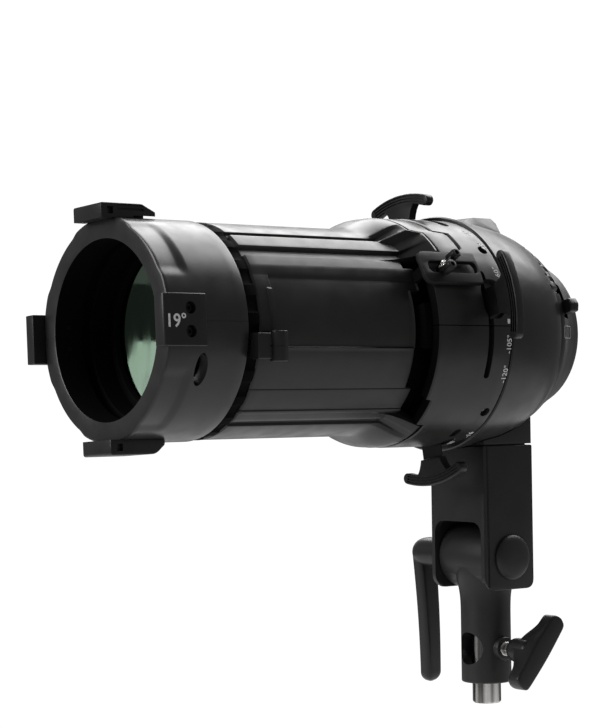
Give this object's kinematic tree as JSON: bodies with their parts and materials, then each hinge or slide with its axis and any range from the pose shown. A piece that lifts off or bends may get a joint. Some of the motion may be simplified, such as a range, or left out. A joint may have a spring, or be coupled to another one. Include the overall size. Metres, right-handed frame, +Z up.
{
  "type": "ellipsoidal spotlight",
  "caption": "Compact ellipsoidal spotlight attachment with a projection lens tube, framing shutters, gobo slot, focus slide and a tilt bracket on a stand spigot.",
  "frame": {"origin": "centre of the stand spigot's lower end face, on the pan axis", "axes": "+Z up along the spigot; the optical axis runs along Y, the front lens faces -Y and the lamp mount faces +Y; the focus lock is on the +X side"},
  "size_m": [0.1694, 0.297, 0.2839],
  "materials": {
    "body_black": "fine matt charcoal moulding",
    "rim_grey": "smooth matt dark grey",
    "grip_black": "satin black",
    "cast_black": "matt black powder coat",
    "screw_black": "black oxide",
    "chrome": "bright plated",
    "steel": "brushed",
    "dark_alloy": "black anodised",
    "lens_glass": "green-coated polished glass"
  },
  "bodies": {
    "stand": {"stand_spigot": "chrome"},
    "receiver": {"stand_receiver": "cast_black"},
    "clamp": {"clamp_screw": "chrome", "clamp_wing": "grip_black"},
    "head": {"yoke_bracket": "cast_black", "tilt_bolt": "cast_black", "saddle_block": "cast_black", "saddle_screw": "screw_black", "rear_housing": "body_black", "rear_collar": "body_black", "mount_flange": "steel", "condenser_cell": "dark_alloy", "condenser_lens_front": "lens_glass", "condenser_lens_rear": "lens_glass", "condenser_retainer": "dark_alloy", "gate_housing_upper": "body_black", "gate_housing_lower": "body_black", "gate_screw_right_upper": "screw_black", "gate_screw_left_upper": "screw_black", "gate_screw_right_lower": "screw_black", "gate_screw_left_lower": "screw_black", "guide_tube": "dark_alloy", "gate_plate_front": "dark_alloy", "gate_plate_rear": "dark_alloy"},
    "lever": {"tilt_lever": "grip_black"},
    "mount_lock": {"mount_release_lever": "grip_black"},
    "lid": {"slot_cover": "body_black"},
    "focus_knob": {"focus_screw": "screw_black"},
    "barrel": {"barrel_upper": "body_black", "barrel_lower": "body_black", "focus_plate": "body_black", "lens_tube_upper": "rim_grey", "lens_tube_lower": "rim_grey", "lens_sleeve": "dark_alloy", "front_lens_retainer": "dark_alloy", "front_lens": "lens_glass", "rear_lens": "lens_glass", "rear_lens_retainer": "dark_alloy", "clip_right": "grip_black", "clip_left": "grip_black", "clip_bottom": "grip_black", "latch_foot": "grip_black", "clip_screw_right_upper": "screw_black", "clip_screw_left_upper": "screw_black", "clip_screw_right_lower": "screw_black", "clip_screw_left_lower": "screw_black"},
    "lock_ring": {"lens_lock_ring": "grip_black"},
    "latch": {"latch_top": "grip_black"},
    "top_carrier": {"shutter_top_carrier": "dark_alloy"},
    "top_shutter": {"shutter_top_blade": "steel", "shutter_top_grip": "grip_black"},
    "bottom_carrier": {"shutter_bottom_carrier": "dark_alloy"},
    "bottom_shutter": {"shutter_bottom_blade": "steel", "shutter_bottom_grip": "grip_black"},
    "right_carrier": {"shutter_right_carrier": "dark_alloy"},
    "right_shutter": {"shutter_right_blade": "steel", "shutter_right_grip": "grip_black"},
    "left_carrier": {"shutter_left_carrier": "dark_alloy"},
    "left_shutter": {"shutter_left_blade": "steel", "shutter_left_grip": "grip_black"}
  },
  "joints": [
    {"name": "pan", "type": "hinge", "parent": "stand", "child": "receiver", "pos_m": [0, 0, 0.03], "axis": [0, 0, 1], "continuous": true},
    {"name": "clamp_turn", "type": "hinge", "parent": "receiver", "child": "clamp", "pos_m": [0, 0, 0.0311], "axis": [1, 0, 0], "range_deg": [-90, 720]},
    {"name": "tilt", "type": "hinge", "parent": "receiver", "child": "head", "pos_m": [0, 0, 0.0823], "axis": [1, 0, 0], "range_deg": [-60, 80]},
    {"name": "tilt_lever_turn", "type": "hinge", "parent": "head", "child": "lever", "pos_m": [-0.03, 0, 0.0823], "axis": [1, 0, 0], "range_deg": [-75, 95]},
    {"name": "mount_lock_turn", "type": "hinge", "parent": "head", "child": "mount_lock", "pos_m": [0, 0.0184, 0.2066], "axis": [0, -1, 0], "range_deg": [0, 11], "stiffness_Nm_per_rad": 0.15, "springref_deg": -2.86},
    {"name": "slot_cover_hinge", "type": "hinge", "parent": "head", "child": "lid", "pos_m": [-0.05016, -0.0682, 0.24794], "axis": [0, -1, 0], "range_deg": [0, 100]},
    {"name": "focus_knob_turn", "type": "hinge", "parent": "head", "child": "focus_knob", "pos_m": [0.06163, -0.082, 0.23979], "axis": [0.8805, 0, 0.4741], "range_deg": [-540, 90]},
    {"name": "focus_slide", "type": "slide", "parent": "head", "child": "barrel", "axis": [0, -1, 0], "range_m": [0, 0.0185]},
    {"name": "lens_lock_turn", "type": "hinge", "parent": "barrel", "child": "lock_ring", "pos_m": [0, -0.203, 0.2066], "axis": [0, -1, 0], "range_deg": [0, 22]},
    {"name": "latch_pivot", "type": "hinge", "parent": "barrel", "child": "latch", "pos_m": [-0.00312, -0.2375, 0.26612], "axis": [-0.9986, 0, -0.0523], "range_deg": [0, 7], "stiffness_Nm_per_rad": 0.12, "springref_deg": -5.73},
    {"name": "top_shutter_turn", "type": "hinge", "parent": "head", "child": "top_carrier", "pos_m": [0, -0.05, 0.2066], "axis": [0, -1, 0], "range_deg": [-25, 11]},
    {"name": "top_shutter_slide", "type": "slide", "parent": "top_carrier", "child": "top_shutter", "axis": [-0.1219, 0, 0.9925], "range_m": [0, 0.024]},
    {"name": "bottom_shutter_turn", "type": "hinge", "parent": "head", "child": "bottom_carrier", "pos_m": [0, -0.05, 0.2066], "axis": [0, -1, 0], "range_deg": [-27.5, 8.5]},
    {"name": "bottom_shutter_slide", "type": "slide", "parent": "bottom_carrier", "child": "bottom_shutter", "axis": [0.165, 0, -0.9863], "range_m": [-0.0065, 0.0175]},
    {"name": "right_shutter_turn", "type": "hinge", "parent": "head", "child": "right_carrier", "pos_m": [0, -0.05, 0.2066], "axis": [0, -1, 0], "range_deg": [-28, 8]},
    {"name": "right_shutter_slide", "type": "slide", "parent": "right_carrier", "child": "right_shutter", "axis": [0.9744, 0, 0.225], "range_m": [-0.007, 0.017]},
    {"name": "left_shutter_turn", "type": "hinge", "parent": "head", "child": "left_carrier", "pos_m": [0, -0.05, 0.2066], "axis": [0, -1, 0], "range_deg": [-26, 10]},
    {"name": "left_shutter_slide", "type": "slide", "parent": "left_carrier", "child": "left_shutter", "axis": [-0.9903, 0, -0.1392], "range_m": [-0.002, 0.022]}
  ]
}
